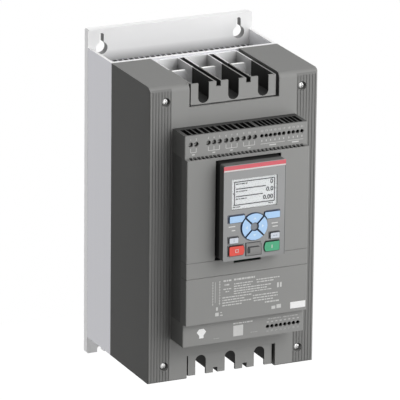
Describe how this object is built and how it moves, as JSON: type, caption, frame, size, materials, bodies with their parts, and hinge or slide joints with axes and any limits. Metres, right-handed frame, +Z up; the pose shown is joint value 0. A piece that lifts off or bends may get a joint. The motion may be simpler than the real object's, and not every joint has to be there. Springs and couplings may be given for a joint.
{
  "type": "soft starter",
  "caption": "Wall-mounted three-phase soft starter: finned heat sink on a keyhole plate, moulded grey cover with cable channels above and below, and a detachable keypad.",
  "frame": {"origin": "centre of the mounting plate's back face", "axes": "+Z up, the front faces -Y, +X to the right as seen from the front"},
  "size_m": [0.199, 0.2322, 0.3768],
  "materials": {
    "plate_aluminium": "satin, bead blasted",
    "sink_aluminium": "extruded, satin anodised",
    "cover_plastic": "fine spark texture",
    "shroud_plastic": "fine spark texture",
    "terminal_plastic": "smooth moulded",
    "tinned_copper": "tin plated",
    "zinc_steel": "zinc plated",
    "panel_plastic": "fine spark texture",
    "clamp_plastic": "moulded",
    "keypad_shell": "moulded",
    "keypad_face": "satin overlay",
    "accent_red": "printed strip",
    "clear_window": "clear",
    "display_white": "backlit",
    "circuit_board": "solder mask",
    "key_blue": "satin",
    "key_grey": "satin",
    "key_red": "satin",
    "key_green": "satin",
    "mat_rubber": "silicone",
    "device_black": "moulded",
    "device_grey": "moulded"
  },
  "bodies": {
    "chassis": {"back_plate": "plate_aluminium", "heatsink": "sink_aluminium", "fan_holder": "sink_aluminium", "fan_frame_left": "device_black", "fan_frame_right": "device_black", "power_board": "circuit_board", "line_terminal_housing": "terminal_plastic", "load_terminal_housing": "terminal_plastic", "line_terminal_shroud": "shroud_plastic", "load_terminal_shroud": "shroud_plastic", "cover_pillars": "zinc_steel", "front_cover": "cover_plastic", "cover_screws": "zinc_steel", "control_base": "panel_plastic", "control_board": "circuit_board", "upper_terminal_cover": "panel_plastic", "upper_terminal_blocks": "clamp_plastic", "upper_terminal_screws": "zinc_steel", "lower_terminal_cover": "panel_plastic", "lower_terminal_blocks": "clamp_plastic", "lower_terminal_screws": "zinc_steel", "keypad_panel": "panel_plastic", "middle_band": "panel_plastic", "lower_front": "panel_plastic", "keypad_cradle": "keypad_shell", "thyristor_module_1": "device_black", "line_busbar_1": "tinned_copper", "load_busbar_1": "tinned_copper", "bypass_contactor_1": "device_grey", "current_transformer_1": "device_black", "thyristor_module_2": "device_black", "line_busbar_2": "tinned_copper", "load_busbar_2": "tinned_copper", "bypass_contactor_2": "device_grey", "current_transformer_2": "device_black", "thyristor_module_3": "device_black", "line_busbar_3": "tinned_copper", "load_busbar_3": "tinned_copper", "bypass_contactor_3": "device_grey", "current_transformer_3": "device_black"},
    "keypad": {"keypad_housing": "keypad_shell", "keypad_face": "keypad_face", "accent_strip": "accent_red", "display_window": "clear_window", "display_module": "display_white", "keypad_board": "circuit_board", "key_mat": "mat_rubber"},
    "soft_key_left": {"soft_key_left": "key_blue"},
    "soft_key_right": {"soft_key_right": "key_blue"},
    "nav_key_up": {"nav_key_up": "key_blue"},
    "nav_key_down": {"nav_key_down": "key_blue"},
    "nav_key_left": {"nav_key_left": "key_blue"},
    "nav_key_right": {"nav_key_right": "key_blue"},
    "info_key": {"info_key": "key_grey"},
    "local_key": {"local_key": "key_grey"},
    "stop_key": {"stop_key": "key_red"},
    "start_key": {"start_key": "key_green"},
    "usb_flap": {"usb_flap": "keypad_face"},
    "fan_rotor_left": {"fan_rotor_left": "device_black"},
    "fan_rotor_right": {"fan_rotor_right": "device_black"}
  },
  "joints": [
    {"name": "keypad_pull", "type": "slide", "parent": "chassis", "child": "keypad", "axis": [0, -1, 0], "range_m": [0, 0.03]},
    {"name": "soft_key_left_press", "type": "slide", "parent": "keypad", "child": "soft_key_left", "axis": [0, 1, 0], "range_m": [0, 0.0008], "stiffness_N_per_m": 1200, "springref_m": -0.0004},
    {"name": "soft_key_right_press", "type": "slide", "parent": "keypad", "child": "soft_key_right", "axis": [0, 1, 0], "range_m": [0, 0.0008], "stiffness_N_per_m": 1200, "springref_m": -0.0004},
    {"name": "nav_key_up_press", "type": "slide", "parent": "keypad", "child": "nav_key_up", "axis": [0, 1, 0], "range_m": [0, 0.0008], "stiffness_N_per_m": 1200, "springref_m": -0.0004},
    {"name": "nav_key_down_press", "type": "slide", "parent": "keypad", "child": "nav_key_down", "axis": [0, 1, 0], "range_m": [0, 0.0008], "stiffness_N_per_m": 1200, "springref_m": -0.0004},
    {"name": "nav_key_left_press", "type": "slide", "parent": "keypad", "child": "nav_key_left", "axis": [0, 1, 0], "range_m": [0, 0.0008], "stiffness_N_per_m": 1200, "springref_m": -0.0004},
    {"name": "nav_key_right_press", "type": "slide", "parent": "keypad", "child": "nav_key_right", "axis": [0, 1, 0], "range_m": [0, 0.0008], "stiffness_N_per_m": 1200, "springref_m": -0.0004},
    {"name": "info_key_press", "type": "slide", "parent": "keypad", "child": "info_key", "axis": [0, 1, 0], "range_m": [0, 0.0008], "stiffness_N_per_m": 1200, "springref_m": -0.0004},
    {"name": "local_key_press", "type": "slide", "parent": "keypad", "child": "local_key", "axis": [0, 1, 0], "range_m": [0, 0.0008], "stiffness_N_per_m": 1200, "springref_m": -0.0004},
    {"name": "stop_key_press", "type": "slide", "parent": "keypad", "child": "stop_key", "axis": [0, 1, 0], "range_m": [0, 0.0008], "stiffness_N_per_m": 1200, "springref_m": -0.0004},
    {"name": "start_key_press", "type": "slide", "parent": "keypad", "child": "start_key", "axis": [0, 1, 0], "range_m": [0, 0.0008], "stiffness_N_per_m": 1200, "springref_m": -0.0004},
    {"name": "usb_flap_swing", "type": "hinge", "parent": "keypad", "child": "usb_flap", "pos_m": [0, -0.2298, -0.01475], "axis": [1, 0, 0], "range_deg": [0, 95]},
    {"name": "fan_left_spin", "type": "hinge", "parent": "chassis", "child": "fan_rotor_left", "pos_m": [-0.046, -0.0388, -0.1533], "axis": [0, 0, 1], "continuous": true},
    {"name": "fan_right_spin", "type": "hinge", "parent": "chassis", "child": "fan_rotor_right", "pos_m": [0.046, -0.0388, -0.1533], "axis": [0, 0, 1], "continuous": true}
  ]
}
